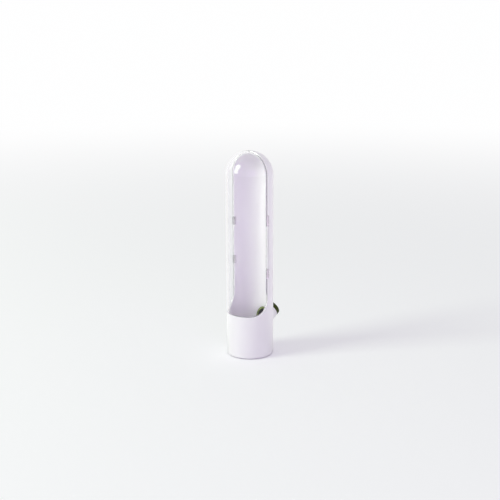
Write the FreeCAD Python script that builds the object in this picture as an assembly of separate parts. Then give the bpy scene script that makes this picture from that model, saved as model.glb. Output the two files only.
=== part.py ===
"""Upright herb keeper: a white cup and back shell with a hinged clear cover.

The origin is on the cup's axis at the foot face, +Z up.  The clear cover is the -Y half,
its hinge is on the +X edge of the seam, and the filler spout leans out to +Y.
"""
import FreeCAD, Part
import math
import os

# ---- overall sizes, in millimetres and degrees ----
outer_radius = 32.0
dome_centre_height = 250.0
body_wall = 2.6
cover_wall = 2.2
foot_clearance = 0.8
bottom_edge_radius = 1.8

# ---- seam between the body and the cover ----
lip_height = 60.0
sweep_radius = 24.0
seam_gap = 0.3
ledge_depth = 1.2
ledge_width = 3.0
tongue_reach = 1.5
tongue_clearance = 0.4
tongue_start_rise = 6.0
body_edge_round = 0.4
cover_edge_round = 0.4

# ---- moulded fill line inside the cup ----
fill_line_height = 51.0
fill_line_width = 0.9
fill_line_relief = 0.35
fill_line_start = 148.0
fill_line_sweep = 28.0

# ---- hinge on the +X edge ----
hinge_centre_height = 155.0
middle_knuckle_length = 58.0
end_knuckle_length = 14.5
knuckle_radius = 1.9
knuckle_clearance = 0.35
knuckle_end_gap = 0.3
knuckle_end_round = 1.2
pin_radius = 0.9
pin_running_clearance = 0.05
pin_floor = 2.0
pin_top_recess = 0.4

# ---- latch on the -X edge ----
latch_centre_height = 156.0
latch_flap_length = 43.0
latch_notch_length = 11.5
latch_reach = 2.2
latch_tab_thickness = 1.3
latch_tab_end_clearance = 0.6
latch_root_depth = 3.0
latch_clearance = 0.4
latch_bead_radius = 0.6
latch_bead_height = 0.2
latch_bead_inset = 0.9
flap_thickness = 1.5

# ---- base plate ----
plate_thickness = 2.6
plate_seat_step = 0.5
plate_edge_clearance = 0.05
foot_radius = 28.0
foot_groove_outer_radius = 25.0
foot_groove_width = 3.0
foot_groove_depth = 0.5

# ---- filler spout and its stopper ----
spout_tilt = 33.0
spout_projection = 9.0
spout_mouth_height = 52.4
spout_bore_radius = 11.8
spout_wall = 1.4
spout_root_radius = 16.0
spout_core_depth = 20.0
spout_mouth_round = 0.4
stopper_clearance = 0.08
stopper_seat_gap = 0.05
stopper_flange_radius = 13.5
stopper_flange_thickness = 5.6
stopper_flange_round = 0.8
stopper_wall = 2.5
stopper_end_inset = 0.1
stopper_dish_depth = 1.2
stopper_dish_rim = 3.0

# ---- allowances used in the modelling itself ----
cut_overshoot = 1.0
match_tolerance = 0.001
match_points = 9
shortest_root_edge = 1.0

# ---- worked out from the sizes above ----
dome_top = dome_centre_height + outer_radius
body_inner_radius = outer_radius - body_wall
cover_inner_radius = outer_radius - cover_wall
ledge_radius = body_inner_radius - ledge_depth
tongue_radius = cover_inner_radius - tongue_clearance
sweep_top = lip_height + sweep_radius
far = 2 * outer_radius
hinge_x = outer_radius
pin_bore_radius = pin_radius + pin_running_clearance
plate_bottom = foot_clearance
plate_top = plate_bottom + plate_thickness
plate_seat_radius = body_inner_radius + plate_seat_step
middle_knuckle_bottom = hinge_centre_height - middle_knuckle_length / 2
middle_knuckle_top = hinge_centre_height + middle_knuckle_length / 2
lower_knuckle_bottom = middle_knuckle_bottom - end_knuckle_length
upper_knuckle_top = middle_knuckle_top + end_knuckle_length
end_knuckle_rooms = [(lower_knuckle_bottom - knuckle_end_gap, middle_knuckle_bottom),
                     (middle_knuckle_top, upper_knuckle_top + knuckle_end_gap)]
pin_bottom = lower_knuckle_bottom + pin_floor + knuckle_end_gap
latch_bottom = latch_centre_height - latch_flap_length / 2
latch_top = latch_centre_height + latch_flap_length / 2
latch_notches = [(latch_bottom - latch_notch_length, latch_bottom), (latch_top, latch_top + latch_notch_length)]
latch_tab_radius = min(body_inner_radius, cover_inner_radius) - latch_clearance
spout_direction = FreeCAD.Vector(0, math.cos(math.radians(spout_tilt)), math.sin(math.radians(spout_tilt)))
spout_mouth = FreeCAD.Vector(0, outer_radius + spout_projection, spout_mouth_height)
spout_reach = (spout_projection + spout_core_depth) / spout_direction.y


def at(x, y, z):
    return FreeCAD.Vector(x, y, z)


def outline_face(edges):
    return Part.Face(Part.Wire([edge.toShape() for edge in edges]))


def domed(radius, bottom):
    """A round bar from bottom upward, closed by a half ball on the cup's axis."""
    middle = radius * math.sqrt(0.5)
    shoulder = at(radius, 0, dome_centre_height)
    crown = at(0, 0, dome_centre_height + radius)
    edges = [
        Part.LineSegment(at(0, 0, bottom), at(radius, 0, bottom)),
        Part.LineSegment(at(radius, 0, bottom), shoulder),
        Part.Arc(shoulder, at(middle, 0, dome_centre_height + middle), crown),
        Part.LineSegment(crown, at(0, 0, bottom)),
    ]
    return outline_face(edges).revolve(at(0, 0, 0), at(0, 0, 1), 360)


def rounded_off(shape, radius, *places):
    """The shape with the edge nearest to each place rounded."""
    edges = [edge for edge in shape.Edges if not edge.Degenerated]
    chosen = [min(edges, key=lambda edge: edge.CenterOfMass.distanceToPoint(place)) for place in places]
    return shape.makeFillet(radius, chosen)


def front_region(inset):
    """Everything in front of the seam and above the lip, shrunk by inset (or grown, if negative)."""
    radius = sweep_radius - inset
    diagonal = radius * math.sqrt(0.5)
    low = lip_height + inset
    back = -inset
    start = at(-far, -sweep_radius, low)
    bend = at(-far, -sweep_radius + diagonal, sweep_top - diagonal)
    end = at(-far, back, sweep_top)
    edges = [
        Part.LineSegment(at(-far, -far, low), start),
        Part.Arc(start, bend, end),
        Part.LineSegment(end, at(-far, back, dome_top + far)),
        Part.LineSegment(at(-far, back, dome_top + far), at(-far, -far, dome_top + far)),
        Part.LineSegment(at(-far, -far, dome_top + far), at(-far, -far, low)),
    ]
    return outline_face(edges).extrude(at(2 * far, 0, 0))


def block(low, high):
    """A box between two corners."""
    return Part.makeBox(high.x - low.x, high.y - low.y, high.z - low.z, low)


def post(radius, bottom, top, x=0.0, y=0.0):
    """An upright round bar."""
    return Part.makeCylinder(radius, top - bottom, at(x, y, bottom))


def ring(outer, inner, bottom, top):
    """An upright tube on the cup's axis."""
    return post(outer, bottom, top).cut(post(inner, bottom, top))


def spout_place(distance):
    """The point on the spout's axis at a distance out from its mouth."""
    return spout_mouth + spout_direction * distance


def spout_bar(radius, start, end):
    """A round bar on the spout's axis between two distances out from the mouth."""
    return Part.makeCylinder(radius, end - start, spout_place(start), spout_direction)


def knuckle(bottom, top, extra=0.0):
    """A hinge barrel, or with extra, the room that it needs."""
    return post(knuckle_radius + extra, bottom, top, hinge_x)


def latch_zone(bottom, top, reach_forward, reach_back):
    """An upright slab on the -X side, across the seam."""
    return block(at(-far, -reach_forward, bottom), at(0, reach_back, top))


def seam_ledge():
    """The inner ledge along the back shell's edge, with the tongue that centres the cover."""
    skin = domed(tongue_radius, sweep_top + tongue_start_rise)
    skin = skin.cut(domed(ledge_radius, lip_height))
    behind = front_region(-ledge_width)
    band = behind.cut(front_region(tongue_reach))
    ledge = skin.common(band)
    for bottom, top in latch_notches:
        ledge = ledge.cut(latch_zone(bottom, top, 2 * tongue_reach, far))
    return ledge


def is_spout_root(edge):
    """True for the curve where the spout leaves the cup's outside wall."""
    if edge.Degenerated or edge.BoundBox.YMin < 0 or edge.BoundBox.ZMax > dome_centre_height / 2:
        return False
    points = edge.discretize(match_points)
    on_wall = all(abs(math.hypot(point.x, point.y) - outer_radius) < match_tolerance for point in points)
    return on_wall and min(edge.BoundBox.XLength, edge.BoundBox.ZLength) > shortest_root_edge


def body_blank():
    """The outside of the cup, shell and spout, as one solid form."""
    outside = rounded_off(domed(outer_radius, foot_clearance), bottom_edge_radius, at(0, 0, foot_clearance))
    tube = spout_bar(spout_bore_radius + spout_wall, -spout_reach, 0)
    tube = rounded_off(tube, spout_mouth_round, spout_mouth)
    outside = outside.fuse(tube).removeSplitter()
    root = [edge for edge in outside.Edges if is_spout_root(edge)]
    return outside.makeFillet(spout_root_radius, root)


def body_shell():
    shell = body_blank().cut(domed(body_inner_radius, 0))
    shell = shell.cut(front_region(0))
    shell = shell.makeFillet(body_edge_round, seam_edges(shell, 0, outer_radius))
    shell = shell.fuse(seam_ledge())
    shell = shell.fuse(fill_line())
    shell = shell.cut(post(plate_seat_radius, 0, plate_top))
    shell = shell.cut(spout_bar(spout_bore_radius, -spout_reach, cut_overshoot))
    shell = shell.cut(latch_recess())
    for bottom, top in end_knuckle_rooms:
        shell = shell.cut(knuckle(bottom, top, knuckle_clearance))
    shell = shell.fuse(middle_knuckle())
    shell = shell.cut(post(pin_radius, middle_knuckle_bottom, middle_knuckle_top, hinge_x))
    return shell.removeSplitter()


def seam_edges(shape, inset, radius):
    """The edges of a seam face that lie on one domed skin."""
    chosen = []
    for edge in shape.Edges:
        if edge.Degenerated:
            continue
        points = edge.discretize(match_points)
        if all(abs(skin_radius(point) - radius) < match_tolerance and on_seam(point, inset) for point in points):
            chosen.append(edge)
    return chosen


def skin_radius(point):
    """The radius of the domed skin that a point lies on."""
    return at(point.x, point.y, max(point.z - dome_centre_height, 0)).Length


def on_seam(point, inset):
    """True on the seam surface: the lip, the sweep or the upright plane."""
    if point.z > sweep_top:
        return abs(point.y + inset) < match_tolerance
    if point.y < -sweep_radius:
        return abs(point.z - lip_height - inset) < match_tolerance
    from_centre = math.hypot(point.y + sweep_radius, point.z - sweep_top)
    return abs(from_centre - (sweep_radius - inset)) < match_tolerance


def middle_knuckle():
    """The body's long hinge barrel, which holds the pin."""
    return knuckle(middle_knuckle_bottom, middle_knuckle_top)


def fill_line():
    """A low rib along part of the cup's inner wall."""
    bottom = fill_line_height - fill_line_width / 2
    rib = Part.makeCylinder(body_inner_radius + body_wall / 2, fill_line_width, at(0, 0, bottom), at(0, 0, 1),
                            fill_line_sweep)
    rib = rib.cut(post(body_inner_radius - fill_line_relief, bottom, bottom + fill_line_width))
    rib.rotate(at(0, 0, 0), at(0, 0, 1), fill_line_start)
    return rib


def latch_recess():
    """The step in the body's edge that the cover's finger flap closes over."""
    bottom = latch_bottom - latch_clearance
    top = latch_top + latch_clearance
    step = ring(outer_radius + latch_clearance, outer_radius - flap_thickness - latch_clearance, bottom, top)
    return step.common(latch_zone(bottom, top, latch_reach, latch_reach + latch_clearance))


def finger_flap():
    """The cover's flap outside the body's edge, to open it by."""
    flap = ring(outer_radius, outer_radius - flap_thickness, latch_bottom, latch_top)
    return flap.common(latch_zone(latch_bottom, latch_top, latch_root_depth, latch_reach))


def snap_tab(bottom, top):
    """One of the cover's tabs inside the body's edge, with its root and its bead."""
    tab_inner = latch_tab_radius - latch_tab_thickness
    tab = ring(latch_tab_radius, tab_inner, bottom, top)
    tab = tab.common(latch_zone(bottom, top, latch_root_depth, latch_reach))
    root = ring(cover_inner_radius + cover_wall / 2, tab_inner, bottom, top)
    root = root.common(latch_zone(bottom, top, latch_root_depth, -seam_gap))
    bead_x = latch_bead_radius - latch_tab_radius - latch_bead_height
    bead = post(latch_bead_radius, bottom, top, bead_x, latch_reach - latch_bead_inset)
    return tab.fuse([root, bead])


def end_knuckle(inner, outer):
    """One of the cover's hinge barrels, rounded at its outer end."""
    barrel = knuckle(min(inner, outer), max(inner, outer))
    return rounded_off(barrel, knuckle_end_round, at(hinge_x, 0, outer))


def clear_cover():
    skin = domed(outer_radius, lip_height).cut(domed(cover_inner_radius, 0))
    cover = skin.common(front_region(seam_gap))
    rims = seam_edges(cover, seam_gap, outer_radius) + seam_edges(cover, seam_gap, cover_inner_radius)
    cover = cover.makeFillet(cover_edge_round, rims)
    cover = cover.fuse(finger_flap())
    for bottom, top in latch_notches:
        cover = cover.fuse(snap_tab(bottom + latch_tab_end_clearance, top - latch_tab_end_clearance))
    cover = cover.cut(knuckle(middle_knuckle_bottom - knuckle_end_gap, middle_knuckle_top + knuckle_end_gap,
                              knuckle_clearance))
    cover = cover.fuse([end_knuckle(middle_knuckle_bottom - knuckle_end_gap, lower_knuckle_bottom),
                        end_knuckle(middle_knuckle_top + knuckle_end_gap, upper_knuckle_top)])
    cover = cover.cut(post(pin_bore_radius, lower_knuckle_bottom + pin_floor, upper_knuckle_top, hinge_x))
    return cover.removeSplitter()


def hinge_pin():
    return post(pin_radius, pin_bottom, upper_knuckle_top - pin_top_recess, hinge_x)


def base_plate():
    """The disc that closes the cup, with the raised foot that it stands on."""
    plate = post(plate_seat_radius - plate_edge_clearance, plate_bottom, plate_top)
    foot = post(foot_radius, 0, plate_bottom)
    groove_inner = foot_groove_outer_radius - foot_groove_width
    groove = ring(foot_groove_outer_radius, groove_inner, 0, foot_groove_depth)
    return plate.fuse(foot).cut(groove).removeSplitter()


def filler_stopper():
    """A hollow plug that ends flush with the cup's inner wall, with a thick flange, dished outside."""
    plug_radius = spout_bore_radius - stopper_clearance
    seat = stopper_seat_gap
    face = seat + stopper_flange_thickness
    flange = spout_bar(stopper_flange_radius, seat, face)
    flange = rounded_off(flange, stopper_flange_round, spout_place(seat), spout_place(face))
    plug = spout_bar(plug_radius, -spout_reach, seat + stopper_flange_thickness / 2)
    plug = plug.cut(post(body_inner_radius + stopper_end_inset, 0, dome_centre_height))
    dish = spout_bar(stopper_flange_radius - stopper_dish_rim, face - stopper_dish_depth, face)
    hollow = spout_bar(plug_radius - stopper_wall, -spout_reach, seat)
    return flange.fuse(plug).cut(dish).cut(hollow).removeSplitter()


nodes = {
    "body_shell": body_shell,
    "base_plate": base_plate,
    "clear_cover": clear_cover,
    "hinge_pin": hinge_pin,
    "filler_stopper": filler_stopper,
}

os.makedirs("parts", exist_ok=True)
for name, make in nodes.items():
    shape = make()
    print(name, shape.isValid(), len(shape.Solids), round(shape.Volume, 1))
    shape.exportStep("parts/" + name + ".step")
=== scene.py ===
import math

import bpy
from mathutils import Matrix, Vector

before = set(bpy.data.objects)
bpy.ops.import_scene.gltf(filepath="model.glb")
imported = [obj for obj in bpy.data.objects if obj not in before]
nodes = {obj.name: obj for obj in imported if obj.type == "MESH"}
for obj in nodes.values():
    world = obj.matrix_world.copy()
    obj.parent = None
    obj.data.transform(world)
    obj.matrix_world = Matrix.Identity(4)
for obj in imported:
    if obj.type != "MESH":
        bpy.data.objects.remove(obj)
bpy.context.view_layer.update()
print("frame loaded:", len(nodes), "nodes")


# camera
cameraView = {
    "azimuth": 41.5,        # degrees round from the front, towards the hinge
    "elevation": 14.5,
    "distance": 1.3,        # metres from the target
    "aimHeight": 0.1463,
    "aimRight": 0.0004,
    "roll": -0.25,
    "lens": 69.0,
}


def directionFrom(azimuth, elevation):
    # unit vector from the object towards a place round it
    turn, rise = math.radians(azimuth), math.radians(elevation)
    return Vector((math.sin(turn) * math.cos(rise), -math.cos(turn) * math.cos(rise), math.sin(rise)))


def facingFrame(back):
    # rotation that looks along -back with Z up
    return (-back).to_track_quat("-Z", "Y").to_matrix().to_4x4()


def addToScene(name, data):
    thing = bpy.data.objects.new(name, data)
    bpy.context.scene.collection.objects.link(thing)
    return thing


def makeCamera(view):
    back = directionFrom(view["azimuth"], view["elevation"])
    right = Vector((0, 0, 1)).cross(back).normalized()
    aim = Vector((0, 0, view["aimHeight"])) + right * view["aimRight"]
    camera = addToScene("camera", bpy.data.cameras.new("camera"))
    camera.data.lens = view["lens"]
    roll = Matrix.Rotation(math.radians(view["roll"]), 4, "Z")
    camera.matrix_world = Matrix.Translation(aim + back * view["distance"]) @ facingFrame(back) @ roll
    bpy.context.scene.camera = camera


makeCamera(cameraView)
bpy.context.scene.view_settings.view_transform = "Standard"
print("camera placed")


# node helpers for the materials
def newMaterial(name):
    material = bpy.data.materials.new(name)
    material.use_nodes = True
    return material, material.node_tree


def addNode(tree, kind, **values):
    # values go to the node's sockets, and to its own settings where no socket has the name
    node = tree.nodes.new(kind)
    for key, value in values.items():
        socket = key.replace("_", " ")
        if socket in node.inputs:
            node.inputs[socket].default_value = value
        else:
            setattr(node, key, value)
    return node


def ownAxes(tree):
    # the piece's own coordinates in metres, one socket for each axis
    place = addNode(tree, "ShaderNodeTexCoord")
    axes = addNode(tree, "ShaderNodeSeparateXYZ")
    tree.links.new(place.outputs["Object"], axes.inputs[0])
    return axes.outputs


def noiseField(tree, scale, detail):
    # noise in the piece's own coordinates, in which one unit is a metre
    place = addNode(tree, "ShaderNodeTexCoord")
    noise = addNode(tree, "ShaderNodeTexNoise", Scale=scale, Detail=detail)
    tree.links.new(place.outputs["Object"], noise.inputs["Vector"])
    return noise.outputs["Fac"]


noiseSpan = (0.3, 0.7)      # where most of the noise lies


def spread(tree, source, low, high):
    # maps noise, which stays near its middle, to a range of values
    mapped = addNode(tree, "ShaderNodeMapRange", From_Min=noiseSpan[0], From_Max=noiseSpan[1],
                     To_Min=low, To_Max=high)
    tree.links.new(source, mapped.inputs["Value"])
    return mapped.outputs["Result"]


def blendColours(tree, factor, first, second):
    # each colour is a socket or three numbers
    mix = addNode(tree, "ShaderNodeMix", data_type="RGBA")
    tree.links.new(factor, mix.inputs[0])
    for socket, colour in ((mix.inputs[6], first), (mix.inputs[7], second)):
        if isinstance(colour, tuple):
            socket.default_value = (*colour, 1)
        else:
            tree.links.new(colour, socket)
    return mix.outputs[2]


def bumpFrom(tree, source, distance):
    bump = addNode(tree, "ShaderNodeBump", Strength=1.0, Distance=distance)
    tree.links.new(source, bump.inputs["Height"])
    return bump.outputs["Normal"]


def mixShaders(tree, factor, first, second):
    mix = addNode(tree, "ShaderNodeMixShader")
    tree.links.new(factor, mix.inputs[0])
    tree.links.new(first.outputs[0], mix.inputs[1])
    tree.links.new(second.outputs[0], mix.inputs[2])
    return mix


def mathNode(tree, operation, first, second):
    # each of the two is a socket or a number
    node = addNode(tree, "ShaderNodeMath", operation=operation)
    for socket, value in zip(node.inputs, (first, second)):
        if isinstance(value, (int, float)):
            socket.default_value = value
        else:
            tree.links.new(value, socket)
    return node.outputs[0]


def mouldedMaterial(name, finish):
    # moulded plastic or rubber: uneven colour, roughness and skin
    material, tree = newMaterial(name)
    shader = tree.nodes["Principled BSDF"]
    shader.inputs["IOR"].default_value = finish["ior"]
    shader.inputs["Specular IOR Level"].default_value = finish["gloss"]
    shader.inputs["Subsurface Weight"].default_value = finish["throughLight"]
    shader.inputs["Subsurface Radius"].default_value = finish["lightSpread"]
    shader.inputs["Subsurface Scale"].default_value = finish["lightDepth"]
    broad = noiseField(tree, finish["patchScale"], finish["patchDetail"])
    fine = noiseField(tree, finish["grainScale"], finish["grainDetail"])
    colour = blendColours(tree, spread(tree, broad, 0, 1), finish["colour"], finish["patchColour"])
    tree.links.new(colour, shader.inputs["Base Color"])
    tree.links.new(spread(tree, broad, *finish["roughness"]), shader.inputs["Roughness"])
    tree.links.new(bumpFrom(tree, fine, finish["grainDepth"]), shader.inputs["Normal"])
    return material


def nearEdge(tree, edge):
    # mask of the painted seam shade: 1 along the cover's seam and lip, 0 further in
    axes = ownAxes(tree)
    back = mathNode(tree, "MAXIMUM", mathNode(tree, "ADD", axes["Y"], edge["cornerRadius"]), 0)
    below = mathNode(tree, "SUBTRACT", edge["cornerHeight"], axes["Z"])
    down = mathNode(tree, "MAXIMUM", below, 0)
    squares = mathNode(tree, "ADD", mathNode(tree, "POWER", back, 2), mathNode(tree, "POWER", down, 2))
    reach = mathNode(tree, "SQRT", squares, 0)
    band = addNode(tree, "ShaderNodeMapRange", interpolation_type="SMOOTHSTEP",
                   From_Min=edge["cornerRadius"] - edge["bandWidth"],
                   From_Max=edge["cornerRadius"] - edge["lineWidth"])
    tree.links.new(reach, band.inputs["Value"])
    return band.outputs["Result"]


def onJoinery(tree, joinery):
    # 1 on the knuckles and tabs, which stand out of the cover's skin
    axes = ownAxes(tree)
    aside = mathNode(tree, "ABSOLUTE", axes["X"], 0)
    beside = mathNode(tree, "GREATER_THAN", aside, joinery["outside"])
    behind = mathNode(tree, "GREATER_THAN", axes["Y"], joinery["behind"])
    return mathNode(tree, "MAXIMUM", beside, behind)


def clearMaterial(name, finish):
    # clear plastic, which lets the lamps' light through to what it covers
    material, tree = newMaterial(name)
    shader = tree.nodes["Principled BSDF"]
    # painted shade: the clear plastic is greyed along the seam and lip, standing in for the dark line of the
    # gap's shadow and the edge's refraction
    colour = blendColours(tree, nearEdge(tree, finish["edge"]), finish["colour"], finish["seamShadeColour"])
    joinery = onJoinery(tree, finish["joinery"])
    # painted shade: the knuckles and tabs are tinted towards the lavender of the shaded wall seen through
    # them
    tree.links.new(blendColours(tree, joinery, colour, finish["joineryShadeTint"]), shader.inputs["Base Color"])
    frost = addNode(tree, "ShaderNodeMapRange", To_Min=finish["roughness"], To_Max=finish["joineryRoughness"])
    tree.links.new(joinery, frost.inputs["Value"])
    tree.links.new(frost.outputs["Result"], shader.inputs["Roughness"])
    shader.inputs["IOR"].default_value = finish["ior"]
    shader.inputs["Transmission Weight"].default_value = 1
    ripple = noiseField(tree, finish["rippleScale"], finish["rippleDetail"])
    tree.links.new(bumpFrom(tree, ripple, finish["rippleDepth"]), shader.inputs["Normal"])
    paths = addNode(tree, "ShaderNodeLightPath")
    through = addNode(tree, "ShaderNodeBsdfTransparent", Color=(*finish["lampColour"], 1))
    # light caught in the wall leaves it straight, so thick edges stay clear
    caught = mathNode(tree, "GREATER_THAN", paths.outputs["Glossy Depth"], finish["wallBounces"])
    passing = mathNode(tree, "MAXIMUM", paths.outputs["Is Shadow Ray"], caught)
    surface = mixShaders(tree, passing, shader, through)
    tree.links.new(surface.outputs[0], tree.nodes["Material Output"].inputs["Surface"])
    return material


def paintFootShade(material, finish):
    # painted contact shade: the round edge that meets the shelf is made a little grey, darker towards the
    # bottom
    tree = material.node_tree
    shader = tree.nodes["Principled BSDF"]
    axes = ownAxes(tree)
    low, high = finish["footShadeHeights"]
    grey = addNode(tree, "ShaderNodeMapRange", interpolation_type="SMOOTHSTEP",
                   From_Min=low, From_Max=high, To_Min=1, To_Max=0)
    tree.links.new(axes["Z"], grey.inputs["Value"])
    plain = shader.inputs["Base Color"].links[0].from_socket
    colour = blendColours(tree, grey.outputs["Result"], plain, finish["footShadeColour"])
    tree.links.new(colour, shader.inputs["Base Color"])


def paintStopperLightAndShade(material, finish):
    # painted light and shade: the plug's end is painted paler where the lamp lights it, and its hollow
    # painted darker where shade falls
    tree = material.node_tree
    shader = tree.nodes["Principled BSDF"]
    place = addNode(tree, "ShaderNodeTexCoord")
    flat = addNode(tree, "ShaderNodeVectorMath", operation="MULTIPLY")
    flat.inputs[1].default_value = (1, 1, 0)
    reach = addNode(tree, "ShaderNodeVectorMath", operation="LENGTH")
    fromMouth = addNode(tree, "ShaderNodeVectorMath", operation="SUBTRACT")
    fromMouth.inputs[1].default_value = finish["spoutMouth"]
    tilt = math.radians(finish["spoutTilt"])
    aside = addNode(tree, "ShaderNodeVectorMath", operation="CROSS_PRODUCT")
    along = addNode(tree, "ShaderNodeVectorMath", operation="DOT_PRODUCT")
    for node in (aside, along):
        node.inputs[1].default_value = (0, math.cos(tilt), math.sin(tilt))
    apart = addNode(tree, "ShaderNodeVectorMath", operation="LENGTH")
    tree.links.new(place.outputs["Object"], flat.inputs[0])
    tree.links.new(flat.outputs[0], reach.inputs[0])
    tree.links.new(place.outputs["Object"], fromMouth.inputs[0])
    tree.links.new(fromMouth.outputs[0], aside.inputs[0])
    tree.links.new(aside.outputs[0], apart.inputs[0])
    tree.links.new(place.outputs["Object"], along.inputs[0])
    rim = mathNode(tree, "LESS_THAN", reach.outputs["Value"], finish["rimReach"])
    narrow = mathNode(tree, "LESS_THAN", apart.outputs["Value"], finish["hollowRadius"])
    inward = mathNode(tree, "LESS_THAN", along.outputs["Value"], finish["hollowEnd"])
    hollow = mathNode(tree, "MULTIPLY", narrow, inward)
    plain = shader.inputs["Base Color"].links[0].from_socket
    # painted light on the plug's end, then painted shade in its hollow
    colour = blendColours(tree, rim, plain, finish["paintedRimLight"])
    tree.links.new(blendColours(tree, hollow, colour, finish["paintedHollowShade"]), shader.inputs["Base Color"])
    rougher = mathNode(tree, "MULTIPLY", hollow, finish["hollowRoughness"])
    plain = shader.inputs["Roughness"].links[0].from_socket
    tree.links.new(mathNode(tree, "ADD", plain, rougher), shader.inputs["Roughness"])


def brushedMaterial(name, finish):
    material, tree = newMaterial(name)
    shader = tree.nodes["Principled BSDF"]
    shader.inputs["Base Color"].default_value = (*finish["colour"], 1)
    shader.inputs["Metallic"].default_value = 1
    grain = noiseField(tree, finish["grainScale"], finish["grainDetail"])
    tree.links.new(spread(tree, grain, *finish["roughness"]), shader.inputs["Roughness"])
    return material


def wear(node, material):
    # puts one material on a CAD node
    thing = nodes[node]
    thing.data.materials.clear()
    thing.data.materials.append(material)


# materials
whiteFinish = {
    "colour": (0.905, 0.866, 0.930),
    "patchColour": (0.894, 0.853, 0.919),
    "patchScale": 30,
    "patchDetail": 3.0,
    "roughness": (0.28, 0.36),
    "ior": 1.46,
    "gloss": 0.5,
    "grainScale": 900,
    "grainDetail": 2.0,
    "grainDepth": 0.00002,
    "throughLight": 0.7,    # a thin wall glows where light falls on its other side
    "lightSpread": (1.0, 1.0, 1.0),
    "lightDepth": 0.003,
    # painted contact shade along the foot, standing in for the shadow where it meets the shelf
    "footShadeColour": (0.50, 0.48, 0.52),
    "footShadeHeights": (0.0004, 0.0018),   # metres, over which the foot's grey fades out upwards
}
siliconeFinish = {
    "colour": (0.052, 0.068, 0.014),
    "patchColour": (0.045, 0.060, 0.011),
    "patchScale": 90,
    "patchDetail": 3.0,
    "roughness": (0.42, 0.55),
    "ior": 1.43,
    "gloss": 0.12,
    "grainScale": 2200,
    "grainDetail": 2.0,
    "grainDepth": 0.00002,
    "throughLight": 0.0,
    "lightSpread": (1.0, 1.0, 1.0),
    "lightDepth": 0.001,
    # painted light on the plug's lit end, and painted shade in its hollow
    "paintedRimLight": (0.25, 0.30, 0.11),
    "paintedHollowShade": (0.010, 0.015, 0.002),
    "hollowRoughness": 0.4,     # added to the roughness in the hollow
    "rimReach": 0.0309,         # metres from the cup's axis
    "hollowRadius": 0.0094,
    "hollowEnd": 0.0634,        # metres along the spout's axis
    "spoutMouth": (0, 0.041, 0.0524),
    "spoutTilt": 33,
}
clearFinish = {
    "colour": (0.996, 0.996, 1.0),
    "lampColour": (1.0, 0.985, 1.0),
    "roughness": 0.015,
    "ior": 1.5,
    "rippleScale": 14,
    "rippleDetail": 1.0,
    "rippleDepth": 0.000005,
    "wallBounces": 2,       # mirror turns inside the wall, after which light leaves it straight
    # painted shade tint on the knuckles and tabs
    "joineryShadeTint": (1.0, 0.93, 1.0),
    "joineryRoughness": 0.25,
    "joinery": {
        "outside": 0.0322,
        "behind": 0.0004,
    },
    # painted shade along the seam and lip
    "seamShadeColour": (0.36, 0.35, 0.38),
    "edge": {               # metres, of the cover's outline from the side
        "cornerRadius": 0.024,
        "cornerHeight": 0.084,
        "lineWidth": 0.0003,
        "bandWidth": 0.0016,
    },
}
pinFinish = {
    "colour": (0.86, 0.84, 0.87),
    "grainScale": 3000,
    "grainDetail": 4.0,
    "roughness": (0.36, 0.48),
}

whiteShell = mouldedMaterial("whiteShell", whiteFinish)
paintFootShade(whiteShell, whiteFinish)
greenSilicone = mouldedMaterial("greenSilicone", siliconeFinish)
paintStopperLightAndShade(greenSilicone, siliconeFinish)
clearPlastic = clearMaterial("clearPlastic", clearFinish)
pinSteel = brushedMaterial("pinSteel", pinFinish)

wear("body_shell", whiteShell)
wear("base_plate", whiteShell)
wear("clear_cover", clearPlastic)
wear("hinge_pin", pinSteel)
wear("filler_stopper", greenSilicone)
print("materials made")


# floor and lamps
stageLook = {
    "floorRadius": 6.0,
    "floorSides": 96,
    "floorColour": (0.965, 0.955, 0.97),
    "floorGlow": (0.088, 0.080, 0.106),
    "skyColour": (0.996, 0.996, 0.998),
    "mirrorColour": (0.08, 0.08, 0.09),
    "ceilingColour": (0.90, 0.90, 0.92),
    "mirrorStart": -0.03,
    "mirrorEnd": 0.08,
    "fillColour": (0.638, 0.654, 0.640),
    "fadeStart": 0.35,
    "fadeEnd": 2.7,
}
keyLamp = {
    "leftOfView": 71,       # degrees from the camera's side of the object
    "elevation": 27,
    "distance": 3.2,
    "width": 1.15,
    "height": 2.0,
    "power": 43.0,
    "colour": (0.87, 1.0, 0.79),
    "mirrored": True,
}
fillLamp = {
    "leftOfView": -15,
    "elevation": 16,
    "distance": 3.2,
    "width": 2.5,
    "height": 1.8,
    "power": 7.8,
    "colour": (0.5, 0.0, 1.0),
    "mirrored": False,
}


def seenDirectly(tree):
    # 1 for what the camera sees by itself or through a clear piece, 0 for light on its way
    rays = addNode(tree, "ShaderNodeLightPath").outputs
    seen = mathNode(tree, "MAXIMUM", rays["Is Camera Ray"], rays["Is Transmission Ray"])
    unscattered = mathNode(tree, "LESS_THAN", rays["Diffuse Depth"], 0.5)
    return mathNode(tree, "MULTIPLY", seen, unscattered)


def seenMirrored(tree):
    # 1 for what a mirror image shows
    rays = addNode(tree, "ShaderNodeLightPath").outputs
    return mathNode(tree, "GREATER_THAN", rays["Is Glossy Ray"], rays["Is Transmission Ray"])


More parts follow.
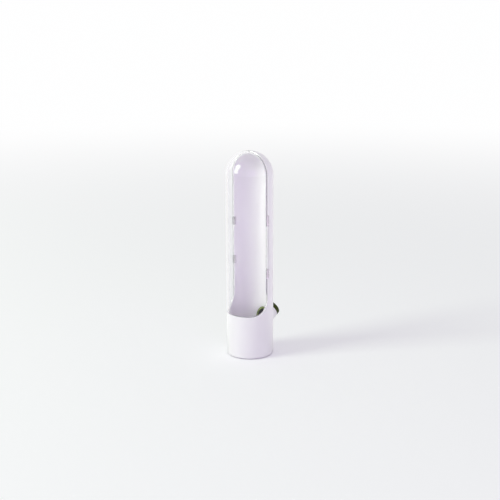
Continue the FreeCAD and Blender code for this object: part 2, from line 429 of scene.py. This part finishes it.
def makeFloor(look):
    bpy.ops.mesh.primitive_circle_add(vertices=look["floorSides"], radius=look["floorRadius"],
                                      fill_type="NGON")
    floor = bpy.context.active_object
    floor.name = "floor"
    material, tree = newMaterial("paleFloor")
    tree.nodes.remove(tree.nodes["Principled BSDF"])
    paint = addNode(tree, "ShaderNodeBsdfDiffuse", Color=(*look["floorColour"], 1))
    glow = addNode(tree, "ShaderNodeEmission", Color=(*look["floorGlow"], 1))
    lit = addNode(tree, "ShaderNodeAddShader")
    tree.links.new(paint.outputs[0], lit.inputs[0])
    tree.links.new(glow.outputs[0], lit.inputs[1])
    sky = addNode(tree, "ShaderNodeEmission", Color=(*look["skyColour"], 1))
    mirrored = addNode(tree, "ShaderNodeEmission")
    place = addNode(tree, "ShaderNodeTexCoord")
    # mirror images show a dim studio in front and the bright backdrop behind
    behind = addNode(tree, "ShaderNodeVectorMath", operation="DOT_PRODUCT")
    behind.inputs[1].default_value = -directionFrom(cameraView["azimuth"], 0)
    tree.links.new(place.outputs["Object"], behind.inputs[0])
    depth = addNode(tree, "ShaderNodeMapRange", From_Min=look["mirrorStart"], From_Max=look["mirrorEnd"])
    tree.links.new(behind.outputs["Value"], depth.inputs["Value"])
    tree.links.new(blendColours(tree, depth.outputs["Result"], look["mirrorColour"], look["skyColour"]),
                   mirrored.inputs["Color"])
    reach = addNode(tree, "ShaderNodeVectorMath", operation="LENGTH")
    fade = addNode(tree, "ShaderNodeMapRange", interpolation_type="SMOOTHSTEP",
                   From_Min=look["fadeStart"], From_Max=look["fadeEnd"])
    tree.links.new(place.outputs["Object"], reach.inputs[0])
    tree.links.new(reach.outputs["Value"], fade.inputs["Value"])
    surface = mixShaders(tree, fade.outputs["Result"], lit, sky)
    surface = mixShaders(tree, seenMirrored(tree), surface, mirrored)
    tree.links.new(surface.outputs[0], tree.nodes["Material Output"].inputs["Surface"])
    floor.data.materials.append(material)


def makeWorld(look):
    world = bpy.data.worlds.new("studio")
    world.use_nodes = True
    bpy.context.scene.world = world
    tree = world.node_tree
    background = tree.nodes["Background"]
    background.inputs["Color"].default_value = (*look["fillColour"], 1)
    sky = addNode(tree, "ShaderNodeBackground", Color=(*look["skyColour"], 1))
    mirrored = addNode(tree, "ShaderNodeBackground", Color=(*look["ceilingColour"], 1))
    surface = mixShaders(tree, seenDirectly(tree), background, sky)
    surface = mixShaders(tree, seenMirrored(tree), surface, mirrored)
    tree.links.new(surface.outputs[0], tree.nodes["World Output"].inputs["Surface"])


def makeLamp(name, lamp):
    back = directionFrom(cameraView["azimuth"] - lamp["leftOfView"], lamp["elevation"])
    light = bpy.data.lights.new(name, "AREA")
    light.shape = "RECTANGLE"
    light.size, light.size_y = lamp["width"], lamp["height"]
    light.energy = lamp["power"]
    light.color = lamp["colour"]
    holder = addToScene(name, light)
    holder.visible_camera = False
    holder.visible_glossy = lamp["mirrored"]
    aim = Vector((0, 0, cameraView["aimHeight"]))
    holder.matrix_world = Matrix.Translation(aim + back * lamp["distance"]) @ facingFrame(back)


makeFloor(stageLook)
makeWorld(stageLook)
makeLamp("keyLamp", keyLamp)
makeLamp("fillLamp", fillLamp)
print("floor, sky and lamps made")
